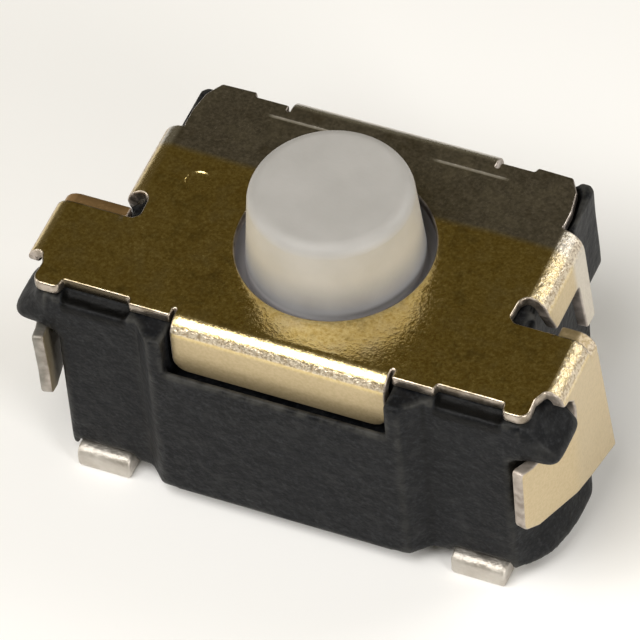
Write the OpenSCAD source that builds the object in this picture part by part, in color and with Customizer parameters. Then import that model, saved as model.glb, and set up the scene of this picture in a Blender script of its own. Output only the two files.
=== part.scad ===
// Surface-mount tactile push button switch, 6.0 x 3.5 x 3.5 mm.
// A black moulded base holds two stamped contacts. A snap dome and a white button sit in
// its well, and a T-shaped sheet-metal cover closes it with flaps folded down on every side.
// Origin: centre of the base, on the plane of the solder terminals. X is the long axis,
// -Y is the front, +Z is up. Left and right are mirror images.

/* [Overall] */
// Length over the two ledge ends
overall_l = 6.0; // [5.9:0.05:6.2]
// Depth over the front and rear bosses
overall_d = 3.5; // [3.46:0.02:3.7]
// Height of the cover's top face above the terminals
cover_top = 2.65; // [2.6:0.05:3]
// Height of the button's top face above the cover
button_rise = 0.85; // [0.5:0.05:1.5]

/* [Cover] */
// Thickness of the cover's sheet metal
sheet_t = 0.12; // [0.1:0.01:0.13]
// Inside radius of the front, rear and side bends
bend_r = 0.08; // [0.07:0.01:0.1]
// Inside radius of the two narrow flaps' bends
soft_bend_r = 0.13; // [0.12:0.01:0.15]
// How far each ledge end stands out of the wide flap round it
ledge_out = 0.08; // [0.06:0.01:0.1]
// How far the narrow flaps stand in from the wide ones
narrow_in = 0.58; // [0.54:0.01:0.6]
// How far the front flap's face lies behind the front boss
front_flap_in = 0.17; // [0.15:0.01:0.19]
// How far the rear flap's face lies behind the rear boss
rear_flap_in = 0.0; // [0:0.01:0.07]
// Half width of the front flap
front_flap_w = 1.18; // [1:0.02:1.2]
// Half width of the rear flap
rear_flap_w = 1.15; // [1:0.02:1.16]
// Height of the front and rear flaps, from the cover's top face
end_flap_h = 0.69; // [0.55:0.02:0.75]
// Corner radius of the front and rear flaps
end_flap_r = 0.17; // [0.05:0.01:0.2]
// Width of the slots that free the flaps' bends
slot_w = 0.03; // [0.02:0.01:0.04]
// How far the lips beside the front flap pass its bend line
lip_out = 0.08; // [0.06:0.01:0.09]
// How far the lips beside the rear flap pass its bend line
rear_lip_out = 0.10; // [0.05:0.01:0.11]
// How far the wide tabs' front corners pass that line
corner_out = 0.125; // [0.1:0.005:0.14]
// Where the wide tabs end towards the rear
tab_rear_y = -0.37; // [-0.42:0.01:-0.3]
// Width of the joggled strips behind the wide tabs
joggle_w = 0.20; // [0.17:0.01:0.22]
// How far those strips lie below the cover's top face
joggle_h = 0.10; // [0.08:0.005:0.11]
// Distance from the front bend line back to the wide flaps' bends
notch_l = 0.30; // [0.28:0.01:0.34]
// Height of the wide flaps, from the cover's top face
side_flap_h = 2.22; // [2.05:0.01:2.3]
// How far the wide flap's rear edge slants back on its way down
side_flap_slant = 0.35; // [0.2:0.05:0.35]
// Angle by which each foot is bent in towards the base
foot_angle = 15; // [12:1:16]
// Length of each foot in front of its bend line
foot_l = 0.92; // [0.8:0.01:0.95]
// Height of the foot's top edge below the ledge
foot_gap = 0.05; // [0.03:0.01:0.1]
// Height of the foot's lower edge at its bend, over the wide flap's lowest corner
foot_rise = 0.33; // [0.25:0.01:0.4]
// Rise of the foot's lower edge for each millimetre forwards
foot_slope = 0.30; // [0.2:0.05:0.4]
// Height of the foot's front tip over its top edge
tip_h = 0.15; // [0.05:0.01:0.2]
// Angle between the narrow flaps and the vertical
splay = 5; // [3:1:6]
// Height of the narrow flaps, from the cover's top face
narrow_h = 0.56; // [0.45:0.01:0.6]
// Height of the narrow legs, from the cover's top face
leg_h = 1.25; // [1.05:0.05:1.35]
// Width of each narrow leg
leg_w = 0.27; // [0.2:0.01:0.3]
// Length of the narrow flaps
narrow_l = 0.97; // [0.9:0.01:0.98]
// Length of the score lines near the rear edge
score_l = 0.78; // [0.5:0.02:0.86]
// Depth of those score lines
score_d = 0.02; // [0.01:0.005:0.04]
// Diameter of the shallow round dimple on the plate
dimple_d = 0.30; // [0.2:0.02:0.36]
// Depth of that dimple
dimple_h = 0.015; // [0.01:0.005:0.03]

/* [Button] */
// Diameter of the button at its top
button_d = 1.72; // [1.6:0.02:1.74]
// Diameter of the button where it passes the cover
button_base_d = 1.86; // [1.8:0.02:1.9]
// Radius of the button's rounded top edge
button_r = 0.15; // [0.05:0.01:0.2]
// Clearance round the button in the cover's hole
button_gap = 0.10; // [0.06:0.01:0.12]
// Diameter of the flange that keeps the button in
flange_d = 2.30; // [2.28:0.01:2.34]
// Thickness of that flange
flange_t = 0.30; // [0.2:0.01:0.35]
// Play between the flange and the cover
flange_play = 0.02; // [0.02:0.01:0.03]
// Diameter of the nub that presses the dome
nub_d = 0.70; // [0.5:0.02:0.8]
// Play between the nub and the dome
nub_play = 0.02; // [0.02:0.01:0.03]

/* [Dome] */
// Travel of the button
travel = 0.25; // [0.2:0.01:0.26]
// Air left under the dome's crown at full travel
dome_air = 0.01; // [0.01:0.005:0.02]
// Diameter of the snap dome
dome_d = 2.24; // [2.1:0.02:2.3]
// Thickness of the snap dome
dome_t = 0.06; // [0.05:0.01:0.07]

/* [Base] */
// Clearance between the cover and the base
seat_gap = 0.02; // [0.01:0.005:0.025]
// Gap between a folded flap and the wall behind it
flap_gap = 0.06; // [0.04:0.01:0.07]
// Thickness of the front boss's lip before the flap
lip_t = 0.08; // [0.06:0.01:0.09]
// How far that lip rises above the flap's lower edge
lip_rise = 0.07; // [0.04:0.01:0.1]
// Depth of the room below the front and rear flaps
flap_room = 0.14; // [0.05:0.01:0.2]
// Gap between a wide flap and the wall behind it
side_gap = 0.05; // [0.04:0.01:0.07]
// Height of the base's underside above the terminals
standoff = 0.19; // [0.15:0.01:0.2]
// Half width of the front boss's face
boss_w = 1.37; // [1.34:0.01:1.4]
// How much narrower the rear boss is on each side
rear_boss_in = 0.35; // [0.3:0.01:0.4]
// Size of the bosses' slanted corners
boss_chamfer = 0.20; // [0.18:0.01:0.22]
// How far the front boss stands proud of the pillars
boss_d = 0.20; // [0.18:0.01:0.22]
// How far the rear boss stands proud of the rear wall
rear_boss_d = 0.13; // [0.1:0.01:0.2]
// How far the front pillars are set in from the widest place
pillar_in = 0.28; // [0.26:0.01:0.32]
// Gap between the narrow flaps' bends and the rear part's wall
narrow_gap = 0.08; // [0.07:0.01:0.1]
// How far the rear corner posts stand out of that wall
post_out = 0.12; // [0.08:0.01:0.14]
// How far the rear part's lower body is set in from that wall
low_in = 0.06; // [0.05:0.01:0.1]
// Depth of the rear part's overhang, from the cover's top face
overhang_h = 1.13; // [1.1:0.01:1.16]
// Depth of the ledges' undersides, from the cover's top face
ledge_h = 0.70; // [0.66:0.01:0.72]
// Height of the ledge end's upright face
ledge_face = 0.17; // [0.1:0.01:0.19]
// Length of the ledges along the side
ledge_l = 0.69; // [0.65:0.01:0.7]
// Diameter of the well
well_d = 2.50; // [2.4:0.01:2.52]
// Height of the well's floor
floor_z = 1.40; // [1.35:0.01:1.45]

/* [Contacts] */
// Thickness of the contacts' strip
contact_t = 0.18; // [0.15:0.01:0.2]
// Height of the terminals, thickened by their folded ends
terminal_t = 0.26; // [0.2:0.01:0.3]
// Width of each terminal
terminal_w = 0.60; // [0.5:0.02:0.64]
// How far the terminals are set in from the base's walls
terminal_in = 0.07; // [0.05:0.01:0.1]
// How far the terminals' ends lie behind the bosses' faces
terminal_back = 0.09; // [0.06:0.01:0.12]
// Moulding in front of the vertical drops
drop_wall = 0.25; // [0.22:0.01:0.28]
// Diameter of the centre contact's pad
pad_d = 0.80; // [0.6:0.02:0.9]
// Width of the arms to the pad and to the ring
arm_w = 0.40; // [0.3:0.02:0.5]
// Inside diameter of the outer contact's ring
ring_in_d = 1.80; // [1.6:0.02:1.9]
// How far the ring reaches past the dome's rim
ring_past = 0.03; // [0.02:0.01:0.05]

/* [Hidden] */

// Number of sides asked of every true circle
fn = 64;
// Spare length that makes cuts run clear through
eps = 0.2;
// Slant of the short edges in the plate's outline
nick = 0.02;
// Outside radius of the ordinary bends and of the soft ones
bend_ro = bend_r + sheet_t;
soft_bend_ro = soft_bend_r + sheet_t;
// Height of the cover's underside and of the base's top face
cover_under = cover_top - sheet_t;
base_top = cover_under - seat_gap;
// Heights where the bends end and the flaps hang straight
bend_z = cover_top - bend_ro;
soft_bend_z = cover_top - soft_bend_ro;
// Planes of the bosses and of the pillars, and half length over the ledge ends
boss_y = overall_d / 2;
pillar_y = boss_y - boss_d;
rear_wall_y = boss_y - rear_boss_d;
ledge_x = overall_l / 2;
// Outer faces of the four kinds of flap
front_flap_y = boss_y - front_flap_in;
rear_flap_y = boss_y - rear_flap_in;
side_flap_x = ledge_x - ledge_out;
narrow_x = side_flap_x - narrow_in;
// Where the flat plate ends and each bend starts
front_bend_y = front_flap_y - bend_ro;
rear_bend_y = rear_flap_y - bend_ro;
side_bend_x = side_flap_x - bend_ro;
narrow_bend_x = narrow_x - soft_bend_ro;
// Ends of the wide flaps' bends
side_flap_front_y = -front_bend_y + notch_l;
side_flap_rear_y = tab_rear_y + joggle_w;
// Inner faces of the wide flaps and height of their lowest corners
side_inner_x = side_flap_x - sheet_t;
side_flap_z = cover_top - side_flap_h;
// Undersides and rear ends of the ledges, and the underside of the rear overhang
ledge_z = cover_top - ledge_h;
ledge_rear_y = -pillar_y + ledge_l;
overhang_z = cover_top - overhang_h;
// Line about which each foot is bent, and height of its top edge
foot_bend_y = ledge_rear_y + 0.06;
foot_top = ledge_z - foot_gap;
// Half widths of the base: front part, pillars, rear part, posts and lower rear body
front_body_x = side_inner_x - side_gap;
pillar_x = front_body_x - pillar_in;
rear_body_x = narrow_x - sheet_t - narrow_gap;
post_x = rear_body_x + post_out;
rear_low_x = rear_body_x - low_in;
// Slanted corner of the front boss, and width of the rear boss
boss_foot_x = boss_w + boss_chamfer;
rear_boss_w = boss_w - rear_boss_in;
// Half width of the recesses that hold the front and rear flaps
recess_w = front_flap_w + 2 * seat_gap;
// Outer edges of the terminals, their ends, and the faces of the drops
front_terminal_x = pillar_x - terminal_in;
rear_terminal_x = rear_low_x - terminal_in;
terminal_y = boss_y - terminal_back;
drop_y = pillar_y - drop_wall;
// Rails that join each contact's two drops
rail_out = rear_terminal_x;
rail_in = front_terminal_x - terminal_w;
rail_z = floor_z - contact_t;
// Snap dome: height inside, crown, and the sphere that it is part of
dome_h = travel - nub_play + dome_air;
dome_crown = floor_z + dome_h + dome_t;
dome_sphere = (pow(dome_d / 2, 2) + pow(dome_h, 2)) / (2 * dome_h);
// Heights of the button's parts
button_top = cover_top + button_rise;
flange_top = cover_under - flange_play;
flange_under = flange_top - flange_t;
nub_z = dome_crown + nub_play;

// Both halves of something that is drawn on the +X side
module both_sides() {
    children();
    mirror([1, 0, 0]) children();
}

// Section of one bend: a ring sector from straight up, turned down by angle a
module bend_section(ri, ro, a) {
    far = 3 * ro;
    intersection() {
        difference() {
            circle(r = ro, $fn = fn);
            circle(r = ri, $fn = fn);
        }
        polygon([[0, 0], [0, far], [far, far], [far * cos(90 - a), far * sin(90 - a)]]);
    }
}

// Bend along the Y axis on the +X side, from y0 to y1, centred at (cx, cz)
module bend_x(cx, cz, y0, y1, ri, ro, a) {
    translate([cx, y1, cz]) rotate([90, 0, 0]) linear_extrude(y1 - y0) bend_section(ri, ro, a);
}

// Flap that hangs at the front (side = -1) or rear (side = 1), with its bend
module end_flap(side, face_y, half_w) {
    low = cover_top - end_flap_h;
    turn = side > 0 ? 90 : -90;
    rotate([0, 0, turn]) bend_x(face_y - bend_ro, bend_z, -half_w, half_w, bend_r, bend_ro, 90);
    y0 = side > 0 ? face_y : -face_y + sheet_t;
    translate([0, y0, 0]) rotate([90, 0, 0]) linear_extrude(sheet_t) difference() {
        translate([-half_w, low]) square([2 * half_w, bend_z - low]);
        for (s = [-1, 1]) {
            cx = s * (half_w - end_flap_r);
            difference() {
                translate([s > 0 ? cx : cx - end_flap_r - eps, low - eps])
                    square([end_flap_r + eps, end_flap_r + eps]);
                translate([cx, low + end_flap_r]) circle(r = end_flap_r, $fn = fn);
            }
        }
    }
}

// Plan outline of the flat plate, right half, from the front flap round to the rear flap
module plate_half() {
    // Lips beside the front flap, the shallow recess, and the tab's cut front corner
    lip_y = -front_bend_y - lip_out;
    step_y = -front_bend_y - nick / 4;
    corner_y = -front_bend_y - corner_out;
    lip_x = boss_foot_x + 0.10;
    tab_x = side_bend_x - 0.32;
    edge_x = side_bend_x - slot_w;
    // Rounded rear corners and the lips beside the rear flap
    rear_x = narrow_bend_x + 0.03;
    rear_lip_y = rear_bend_y + rear_lip_out;
    rear_lip_x = rear_flap_w + 0.42;
    polygon([
        [0, -front_bend_y], [front_flap_w, -front_bend_y],
        [front_flap_w, step_y + slot_w], [front_flap_w + slot_w, step_y + slot_w],
        [front_flap_w + slot_w, lip_y], [lip_x, lip_y], [lip_x + nick, step_y],
        [tab_x, step_y], [tab_x + nick, corner_y], [edge_x - 0.09, corner_y],
        [edge_x - 0.03, corner_y + 0.025], [edge_x, corner_y + 0.085],
        [edge_x, side_flap_front_y - 0.08], [side_bend_x, side_flap_front_y],
        [side_bend_x, tab_rear_y], [narrow_bend_x + 0.01, tab_rear_y],
        [narrow_bend_x - 0.04, tab_rear_y + 0.05], [narrow_bend_x - nick, -0.06],
        [narrow_bend_x, 0], [narrow_bend_x, narrow_l], [rear_x, narrow_l + 0.03],
        [rear_x, rear_bend_y - 0.30], [rear_x - 0.05, rear_bend_y - 0.06],
        [rear_x - 0.18, rear_lip_y], [rear_lip_x, rear_lip_y],
        [rear_lip_x - nick, rear_bend_y + nick], [rear_flap_w + slot_w, rear_bend_y + nick],
        [rear_flap_w + slot_w, rear_bend_y - slot_w], [rear_flap_w, rear_bend_y - slot_w],
        [rear_flap_w, rear_bend_y], [0, rear_bend_y]
    ]);
}

// Height of the foot's lower edge at distance d in front of its bend line
function foot_low(d) = side_flap_z + foot_rise + foot_slope * d;

// Outline of a wide flap behind its foot's bend line, in the YZ plane
module side_flap_outline() {
    rear_low = side_flap_rear_y + side_flap_slant;
    knee_y = foot_bend_y + 0.33;
    knee_z = side_flap_z + 0.24;
    // The cut-out's edge runs down over the ledge's rear end
    cut = [[-0.15, 0.47], [-0.04, 0.41], [0, 0.31]];
    polygon(concat(
        [[side_flap_front_y, bend_z]],
        [for (p = cut) [foot_bend_y + p[0], ledge_z + p[1]]],
        [[foot_bend_y, foot_low(0)], [knee_y, knee_z], [rear_low, side_flap_z],
            [side_flap_rear_y, bend_z - joggle_h], [tab_rear_y, bend_z - joggle_h],
            [tab_rear_y, bend_z]]
    ));
}

// Outline of a foot in its own plane: distance in front of the bend line, height
module foot_outline() {
    // Corners of the rounded toe: distance behind the front end, depth below the top edge
    toe = [[0.10, 0.84], [0.02, 0.70], [0, 0.54]];
    // Corners of the raised tip: distance behind the front end, depth below its top
    tip = [[0, 0.07], [0.03, 0.01], [0.10, 0]];
    heel = foot_l - 0.28;
    polygon(concat(
        [[0, foot_low(0)], [heel, foot_low(heel)]],
        [for (p = toe) [foot_l - p[0], foot_top - p[1]]],
        [for (p = tip) [foot_l - p[0], foot_top + tip_h - p[1]]],
        [[foot_l - 0.13, foot_top], [0, foot_top]]
    ));
}

// Joggled strip just below the plate, behind the wide tab, grown by room on every side
module joggle(room) {
    inner_x = narrow_bend_x + 0.11 - room;
    front = tab_rear_y - sheet_t - room;
    translate([inner_x, front, cover_under - joggle_h - room])
        cube([side_bend_x - inner_x + room, side_flap_rear_y - front + room, sheet_t + room]);
}

// One wide side flap with its bend, its bent foot and the joggled strip behind the tab
module side_flap() {
    low_bend_z = bend_z - joggle_h;
    bend_x(side_bend_x, bend_z, side_flap_front_y, tab_rear_y, bend_r, bend_ro, 90);
    bend_x(side_bend_x, low_bend_z, tab_rear_y - nick, side_flap_rear_y, bend_r, bend_ro, 90);
    translate([side_inner_x, 0, 0]) rotate([90, 0, 90]) linear_extrude(sheet_t) side_flap_outline();
    translate([side_inner_x, foot_bend_y, 0]) {
        rotate([0, 0, -foot_angle]) rotate([90, 0, -90]) mirror([0, 0, 1])
            linear_extrude(sheet_t) foot_outline();
        intersection() {
            translate([0, 0, foot_low(0)])
                cylinder(r = sheet_t, h = foot_top - foot_low(0), $fn = fn);
            translate([0, -sheet_t, 0]) cube([sheet_t, sheet_t, cover_top]);
        }
    }
    joggle(0);
}

// One narrow flap with its tooth and its leg, turned out by the splay
module narrow_flap() {
    fall = soft_bend_z - (cover_top - narrow_h);
    leg = soft_bend_z - (cover_top - leg_h);
    leg_front = narrow_l - leg_w;
    tooth = 0.12;
    corner = 0.06;
    bend_x(narrow_bend_x, soft_bend_z, 0, narrow_l, soft_bend_r, soft_bend_ro, 90 - splay);
    translate([narrow_bend_x, 0, soft_bend_z]) rotate([0, -splay, 0])
        translate([soft_bend_r, 0, 0]) rotate([90, 0, 90]) linear_extrude(sheet_t) polygon([
            [0, 0], [0.05, -0.5 * fall], [tooth, -fall], [leg_front, -fall],
            [leg_front + corner / 2, -leg + corner], [leg_front + corner + nick, -leg],
            [narrow_l - 0.04, -leg], [narrow_l, -leg + corner], [narrow_l, 0]
        ]);
}

// Score line near the rear edge of the plate, across the end of the rear flap's bend
module score_line() {
    line_w = 0.03;
    translate([rear_flap_w + 0.19 - score_l, rear_bend_y - 0.16 - line_w / 2, cover_top - score_d])
        cube([score_l, line_w, score_d + eps]);
}

module cover() {
    dimple_at = [-1.66, 0.30, cover_top - dimple_h];
    color("darkkhaki") difference() {
        union() {
            translate([0, 0, cover_under]) linear_extrude(sheet_t) both_sides() plate_half();
            end_flap(-1, front_flap_y, front_flap_w);
            end_flap(1, rear_flap_y, rear_flap_w);
            both_sides() side_flap();
            both_sides() narrow_flap();
        }
        translate([0, 0, cover_under - eps])
            cylinder(d = button_base_d + 2 * button_gap, h = sheet_t + 2 * eps, $fn = fn);
        both_sides() score_line();
        translate(dimple_at) cylinder(d = dimple_d, h = eps, $fn = fn);
    }
}

// Corners of the boss and pillar on the right, from the long axis to the curved flank
function front_corners() = concat(
    [[0, -boss_y], [boss_w, -boss_y], [boss_foot_x, -pillar_y], [pillar_x, -pillar_y]],
    // Each flank corner: setback from the widest place, distance behind the pillar's face
    [for (p = [[0.17, 0.19], [0.08, 0.43], [0.02, 0.69], [0, 0.95]])
        [front_body_x - p[0], -pillar_y + p[1]]]
);

// Corners of the rear boss on the right, back to the long axis
function rear_corners() = [
    [rear_boss_w + boss_chamfer, rear_wall_y], [rear_boss_w, boss_y], [0, boss_y]
];

// Plan of the base below its rear overhang, right half
module low_plan() {
    polygon(concat(
        front_corners(),
        [[front_body_x, -0.10], [rear_low_x, 0.20], [rear_low_x, rear_wall_y]],
        rear_corners()
    ));
}

// Plan of the base above its overhangs, right half
module high_plan() {
    edge = 0.10;
    post_edge = 0.06;
    step_y = tab_rear_y - slot_w;
    neck_x = rear_body_x + 0.11;
    post_y = narrow_l + 0.03;
    polygon(concat(
        [[0, -boss_y], [boss_w, -boss_y], [boss_foot_x, -pillar_y],
            [front_body_x - edge, -pillar_y], [front_body_x, -pillar_y + edge],
            [front_body_x, step_y], [neck_x, step_y], [neck_x - nick, -0.08],
            [rear_body_x, -0.06], [rear_body_x, post_y], [post_x, post_y + slot_w],
            [post_x, rear_wall_y - post_edge], [post_x - post_edge, rear_wall_y]],
        rear_corners()
    ));
}

// One ledge end, which pokes out through the wide flap's cut-out
module ledge() {
    root_x = pillar_x - 0.3;
    slope_x = front_body_x - 0.09;
    face_z = ledge_z + ledge_face;
    top_z = face_z + ledge_x - slope_x;
    cut = 0.08;
    intersection() {
        translate([0, ledge_rear_y, 0]) rotate([90, 0, 0]) linear_extrude(ledge_l)
            polygon([
                [root_x, ledge_z], [ledge_x, ledge_z], [ledge_x, face_z],
                [slope_x, top_z], [root_x, top_z]
            ]);
        linear_extrude(cover_top) polygon([
            [root_x - eps, -pillar_y], [ledge_x - cut, -pillar_y], [ledge_x, -pillar_y + cut],
            [ledge_x, ledge_rear_y], [root_x - eps, ledge_rear_y]
        ]);
    }
}

// Solid of the base before its well and pockets are cut
module base_block() {
    both_sides() {
        translate([0, 0, standoff]) linear_extrude(overhang_z - standoff) low_plan();
        translate([0, 0, overhang_z]) linear_extrude(ledge_z - overhang_z) intersection() {
            high_plan();
            polygon(concat(front_corners(), [[front_body_x, boss_y], [0, boss_y]]));
        }
        translate([0, 0, ledge_z]) linear_extrude(base_top - ledge_z) high_plan();
        ledge();
    }
}

// Recess in the front or rear face that holds a flap, from the wall behind it outwards. A lip
// of the given thickness is left standing before the flap's lower edge.
module flap_recess(wall_y, lip) {
    flap_low = cover_top - end_flap_h;
    translate([-recess_w, wall_y, flap_low + lip_rise]) cube([2 * recess_w, boss_y, cover_top]);
    translate([-recess_w, wall_y, flap_low - flap_room])
        cube([2 * recess_w, boss_y - lip - wall_y + (lip > 0 ? 0 : eps), flap_room + lip_rise + eps]);
}

// Rooms under the pillars into which the terminals reach
module terminal_rooms() {
    for (p = [[front_terminal_x, -boss_y], [rear_terminal_x, drop_y]])
        translate([p[0] - terminal_w - seat_gap, p[1], -eps])
            cube([terminal_w + 2 * seat_gap, boss_y - drop_y, terminal_t + seat_gap + eps]);
}

module base_housing() {
    color("dimgray") difference() {
        base_block();
        translate([0, 0, floor_z]) cylinder(d = well_d, h = cover_top, $fn = fn);
        mirror([0, 1, 0]) flap_recess(front_flap_y - sheet_t - flap_gap, lip_t);
        flap_recess(rear_flap_y - sheet_t - flap_gap, 0);
        both_sides() terminal_rooms();
        both_sides() joggle(seat_gap);
        center_contact_body();
        outer_contact_body();
    }
}

// Rail, drops and terminals that both contacts share, on the +X side
module contact_frame() {
    tongue = terminal_y - drop_y + contact_t;
    front_x = front_terminal_x - terminal_w;
    rear_x = rear_terminal_x - terminal_w;
    translate([rail_in, -drop_y, rail_z]) cube([rail_out - rail_in, 2 * drop_y, contact_t]);
    translate([front_x, -drop_y, 0]) cube([terminal_w, contact_t, floor_z]);
    translate([front_x, -terminal_y, 0]) cube([terminal_w, tongue, terminal_t]);
    translate([rear_x, drop_y - contact_t, 0]) cube([terminal_w, contact_t, floor_z]);
    translate([rear_x, drop_y - contact_t, 0]) cube([terminal_w, tongue, terminal_t]);
}

module center_contact_body() {
    mirror([1, 0, 0]) contact_frame();
    translate([-rail_out, -arm_w / 2, rail_z]) cube([rail_out, arm_w, contact_t]);
    translate([0, 0, rail_z]) cylinder(d = pad_d, h = contact_t, $fn = fn);
}

module outer_contact_body() {
    ring_d = dome_d + 2 * ring_past;
    arm_x = (ring_in_d + ring_d) / 4;
    contact_frame();
    translate([arm_x, -arm_w / 2, rail_z]) cube([rail_out - arm_x, arm_w, contact_t]);
    // The ring is open on the left, where the centre contact's arm passes
    translate([0, 0, rail_z]) difference() {
        cylinder(d = ring_d, h = contact_t, $fn = fn);
        translate([0, 0, -eps]) cylinder(d = ring_in_d, h = contact_t + 2 * eps, $fn = fn);
        translate([-ring_d, -arm_w, -eps]) cube([ring_d, 2 * arm_w, contact_t + 2 * eps]);
    }
}

module center_contact() {
    color("silver") center_contact_body();
}

module outer_contact() {
    color("silver") outer_contact_body();
}

// Spherical cap of even thickness, resting on the well's floor
module snap_dome() {
    color("lightsteelblue") translate([0, 0, floor_z]) rotate_extrude($fn = fn) intersection() {
        translate([0, dome_h - dome_sphere]) difference() {
            circle(r = dome_sphere + dome_t, $fn = 4 * fn);
            circle(r = dome_sphere, $fn = 4 * fn);
        }
        square([dome_d / 2, dome_h + dome_t]);
    }
}

// Turned profile of the button: nub, flange, tapered stem and rounded top edge
module button() {
    rt = button_d / 2;
    rb = button_base_d / 2;
    cy = button_top - button_r;
    color("whitesmoke") rotate_extrude($fn = fn) union() {
        translate([0, nub_z]) square([nub_d / 2, flange_under - nub_z]);
        translate([0, flange_under]) square([flange_d / 2, flange_t]);
        polygon([[0, flange_under], [rb, flange_under], [rb, cover_under], [rt, cy], [0, cy]]);
        translate([0, flange_under]) square([rt - button_r, button_top - flange_under]);
        translate([rt - button_r, cy]) circle(r = button_r, $fn = fn);
    }
}

base_housing();
center_contact();
outer_contact();
snap_dome();
button();
cover();
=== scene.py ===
# %% [markdown]
# # A tactile push button switch, dressed round its CAD frame
# The real object is 6 mm long. A black moulded base carries two plated contacts, a snap dome
# and a white button, and one stamped sheet of metal is folded over it as a cover. The CAD
# frame gives every place and size in metres. This lesson makes each piece again as a smooth
# surface worked out with numpy, gives it a procedural finish and hangs it on its body.

# %% Load the frame
import bpy
import bmesh
import numpy as np
from types import SimpleNamespace
from mathutils import Matrix, Vector
from mathutils.geometry import delaunay_2d_cdt


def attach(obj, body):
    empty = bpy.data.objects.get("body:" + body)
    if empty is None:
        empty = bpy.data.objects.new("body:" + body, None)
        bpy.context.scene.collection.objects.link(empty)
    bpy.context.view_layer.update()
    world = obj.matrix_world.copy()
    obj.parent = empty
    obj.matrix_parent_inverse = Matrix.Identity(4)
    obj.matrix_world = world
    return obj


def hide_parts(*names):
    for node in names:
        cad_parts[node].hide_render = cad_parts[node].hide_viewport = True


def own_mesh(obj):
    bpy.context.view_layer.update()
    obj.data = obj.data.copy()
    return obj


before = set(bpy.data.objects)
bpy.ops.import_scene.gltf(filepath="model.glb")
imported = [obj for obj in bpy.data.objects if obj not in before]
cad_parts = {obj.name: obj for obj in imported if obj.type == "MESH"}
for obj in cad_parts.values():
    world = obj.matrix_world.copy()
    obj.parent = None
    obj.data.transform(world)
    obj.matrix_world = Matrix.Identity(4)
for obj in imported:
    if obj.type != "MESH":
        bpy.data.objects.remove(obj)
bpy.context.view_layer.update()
MM = 0.001

# %% [markdown]
# ## Shared tools for surfaces
# Nearly every piece here is a stack of closed loops of points: a profile turned about an axis,
# or a section carried along a path. One helper makes the faces between the loops, and another
# makes the mesh. They work in millimetres, because the numbers of a small part read better
# that way, and write metres.

# %% Mesh helpers
def make_mesh(name, points, faces, smooth=True):
    """An object from points in millimetres and a list of faces, with outward normals."""
    mesh = bpy.data.meshes.new(name)
    mesh.from_pydata((np.asarray(points, float) * MM).tolist(), [], [list(f) for f in faces])
    mesh.update()
    bm = bmesh.new()
    bm.from_mesh(mesh)
    bmesh.ops.remove_doubles(bm, verts=bm.verts, dist=1e-8)
    bmesh.ops.recalc_face_normals(bm, faces=bm.faces)
    bm.to_mesh(mesh)
    bm.free()
    mesh.polygons.foreach_set("use_smooth", [smooth] * len(mesh.polygons))
    piece = bpy.data.objects.new(name, mesh)
    bpy.context.scene.collection.objects.link(piece)
    return piece


def loop_faces(loops, points_each, start=0):
    """Quads between closed loops of points, which are numbered loop by loop from start. The
    last point of a loop joins its first."""
    r, c = (a.ravel() for a in np.meshgrid(
        np.arange(loops - 1), np.arange(points_each), indexing="ij"))
    c2 = (c + 1) % points_each
    quads = np.stack([r * points_each + c, r * points_each + c2,
                      (r + 1) * points_each + c2, (r + 1) * points_each + c], 1)
    return (quads + start).tolist()


def arc(centre, radius, a0, a1, count):
    """Points of an arc, angles in degrees: centre plus radius times (cos a, sin a)."""
    a = np.radians(np.linspace(a0, a1, count))
    return np.stack([centre[0] + radius * np.cos(a), centre[1] + radius * np.sin(a)], 1)


def turned(name, profile, sides):
    """Surface of revolution: a profile of (radius, height) turned about the Z axis."""
    profile = np.asarray(profile, float)
    a = 2 * np.pi * np.arange(sides) / sides
    x = profile[:, 0, None] * np.cos(a)
    y = profile[:, 0, None] * np.sin(a)
    z = np.repeat(profile[:, 1, None], sides, 1)
    points = np.stack([x, y, z], -1).reshape(-1, 3)
    return make_mesh(name, points, loop_faces(len(profile), sides))


# %% [markdown]
# ## Camera
# The photograph looks down on the front right corner from a long way off, which flattens
# the perspective. The camera stands 68.8 mm away with a long lens. Its direction, its slight
# roll and its framing were found by fitting mirror pairs of corners.

# %% Camera at the photograph's angle
LOOK_AT = Vector((0.0, 0.0, 2.65)) * MM
BACK = Vector((0.2962, -0.5800, 0.7589)).normalized()
ROLL = np.radians(-5.60)
AWAY, AIM_LEFT, AIM_DOWN = 68.8, 0.158, 0.783
SENSOR, LENS = 36, 380.5
level_right = Vector((-BACK.y, BACK.x, 0)).normalized()
level_up = BACK.cross(level_right)
cam_right = level_right * np.cos(ROLL) + level_up * np.sin(ROLL)
cam_up = level_up * np.cos(ROLL) - level_right * np.sin(ROLL)
aim = LOOK_AT - cam_right * AIM_LEFT * MM - cam_up * AIM_DOWN * MM
camera_data = bpy.data.cameras.new("camera")
camera_data.sensor_width, camera_data.lens = SENSOR, LENS
camera_data.clip_start, camera_data.clip_end = 0.005, 1.0
camera = bpy.data.objects.new("camera", camera_data)
turn = Matrix((cam_right, cam_up, BACK)).transposed()
camera.matrix_world = Matrix.Translation(aim + BACK * AWAY * MM) @ turn.to_4x4()
bpy.context.scene.collection.objects.link(camera)
bpy.context.scene.camera = camera
print("camera at mm:", [round(c / MM, 2) for c in camera.location])

# %% [markdown]
# ## The cover's blank
# On the real part the cover is punched from strip as a flat blank and then folded. The same
# two steps are used here: the outline is drawn once in the flat, in developed lengths, and one
# function folds every point. That keeps the bends perfectly smooth and the sheet even.
# Every corner has its own radius, because punched corners are never sharp.

# %% Sizes of the sheet and its bends
SHEET, TOP_Z, HOLE_R = 0.12, 2.65, 1.03
# Bend lines: front and rear flaps, wide and narrow side flaps, and the foot's upright line
FRONT_Y, REAR_Y = -1.38, 1.55
SIDE_X, NARROW_X = 2.72, 2.09
FOOT_Y = -0.80
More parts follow.
